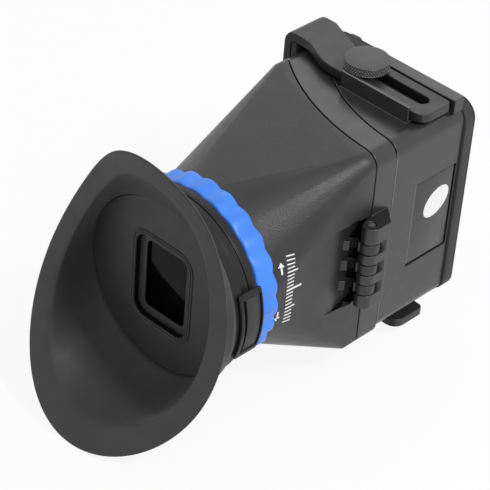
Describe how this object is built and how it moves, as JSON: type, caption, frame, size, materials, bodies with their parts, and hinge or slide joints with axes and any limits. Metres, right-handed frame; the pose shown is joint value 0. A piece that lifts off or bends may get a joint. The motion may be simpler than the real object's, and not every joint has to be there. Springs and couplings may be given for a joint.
{
  "type": "lcd viewfinder loupe",
  "caption": "Flip-up magnifying loupe for a camera's rear screen, with a soft oval eyecup, a scalloped focus ring, a tapered hood and a slotted side bracket.",
  "frame": {"origin": "under the middle of the whole part's bounding box, at its lowest level, as the part lies with the screen frame upright", "axes": "+Y from the eyecup to the screen frame, along the optical axis; +Z along the screen's long side; +X towards the hinge"},
  "size_m": [0.0838, 0.1708, 0.1087],
  "materials": {
    "rear_gasket": "matte",
    "rear_box": "satin",
    "screen_mask": "matte",
    "side_cover": "satin",
    "middle_frame": "satin",
    "hinge_pin": "satin",
    "case_screw_1": "satin",
    "case_screw_2": "satin",
    "case_screw_3": "satin",
    "case_screw_4": "satin",
    "frame_magnet_upper": "plated",
    "frame_magnet_lower": "plated",
    "housing_magnet_upper": "plated",
    "housing_magnet_lower": "plated",
    "housing": "satin",
    "ring_keeper": "matte",
    "focus_ring": "satin",
    "lens_barrel": "matte",
    "cam_pin_1": "satin",
    "cam_pin_2": "satin",
    "cam_pin_3": "satin",
    "eye_lens": "clear",
    "field_lens": "clear",
    "lens_spacer": "matte",
    "lens_retainer": "matte",
    "eyepiece_collar": "satin",
    "eyepiece_clip_right": "satin",
    "eyepiece_clip_left": "satin",
    "face_plate": "satin",
    "window_pane": "clear",
    "eyecup": "matte",
    "bracket": "satin",
    "thumbscrew_top": "satin",
    "thumbscrew_bottom": "satin",
    "washer_top": "satin",
    "washer_bottom": "satin",
    "insert_top": "satin",
    "insert_bottom": "satin",
    "camera_screw": "satin",
    "camera_washer": "satin",
    "camera_clip": "satin"
  },
  "bodies": {
    "case": {"rear_gasket": "rear_gasket", "rear_box": "rear_box", "screen_mask": "screen_mask", "side_cover": "side_cover", "middle_frame": "middle_frame", "hinge_pin": "hinge_pin", "case_screw_1": "case_screw_1", "case_screw_2": "case_screw_2", "case_screw_3": "case_screw_3", "case_screw_4": "case_screw_4", "frame_magnet_upper": "frame_magnet_upper", "frame_magnet_lower": "frame_magnet_lower", "washer_top": "washer_top", "washer_bottom": "washer_bottom", "insert_top": "insert_top", "insert_bottom": "insert_bottom"},
    "hood": {"housing": "housing", "ring_keeper": "ring_keeper", "housing_magnet_upper": "housing_magnet_upper", "housing_magnet_lower": "housing_magnet_lower"},
    "focus": {"focus_ring": "focus_ring"},
    "eyepiece": {"lens_barrel": "lens_barrel", "cam_pin_1": "cam_pin_1", "cam_pin_2": "cam_pin_2", "cam_pin_3": "cam_pin_3", "eye_lens": "eye_lens", "field_lens": "field_lens", "lens_spacer": "lens_spacer", "lens_retainer": "lens_retainer", "eyepiece_collar": "eyepiece_collar", "eyepiece_clip_right": "eyepiece_clip_right", "eyepiece_clip_left": "eyepiece_clip_left", "face_plate": "face_plate", "window_pane": "window_pane"},
    "cup": {"eyecup": "eyecup"},
    "camera_bracket": {"bracket": "bracket"},
    "screw_carriage": {"camera_washer": "camera_washer"},
    "camera_bolt": {"camera_screw": "camera_screw", "camera_clip": "camera_clip"},
    "top_knob": {"thumbscrew_top": "thumbscrew_top"},
    "bottom_knob": {"thumbscrew_bottom": "thumbscrew_bottom"}
  },
  "joints": [
    {"name": "hood_flip", "type": "hinge", "parent": "case", "child": "hood", "pos_m": [0.03794, 0.01214, 0.05141], "axis": [0, 0, 1], "range_deg": [0, 170]},
    {"name": "focus_turn", "type": "hinge", "parent": "hood", "child": "focus", "pos_m": [0.00254, -0.02886, 0.05141], "axis": [0, 1, 0], "range_deg": [0, 54]},
    {"name": "eyepiece_slide", "type": "slide", "parent": "hood", "child": "eyepiece", "axis": [0, -1, 0], "range_m": [0, 0.004]},
    {"name": "eyecup_turn", "type": "hinge", "parent": "eyepiece", "child": "cup", "pos_m": [0.00254, -0.04486, 0.05141], "axis": [0, 1, 0], "continuous": true},
    {"name": "bracket_slide", "type": "slide", "parent": "case", "child": "camera_bracket", "axis": [-1, 0, 0], "range_m": [0, 0.025]},
    {"name": "camera_screw_slide", "type": "slide", "parent": "camera_bracket", "child": "screw_carriage", "axis": [0, 0, 1], "range_m": [-0.0175, 0.0175]},
    {"name": "camera_screw_turn", "type": "hinge", "parent": "screw_carriage", "child": "camera_bolt", "pos_m": [-0.03586, 0.07444, 0.05141], "axis": [1, 0, 0], "continuous": true},
    {"name": "top_knob_turn", "type": "hinge", "parent": "case", "child": "top_knob", "pos_m": [0.00024, 0.04714, 0.09541], "axis": [0, 0, 1], "continuous": true},
    {"name": "bottom_knob_turn", "type": "hinge", "parent": "case", "child": "bottom_knob", "pos_m": [0.00024, 0.04714, 0.00491], "axis": [0, 0, 1], "continuous": true}
  ],
  "couplings": [
    {"joint": "eyepiece_slide", "follows": "focus_turn", "m_per_rad": 0.0042437}
  ]
}
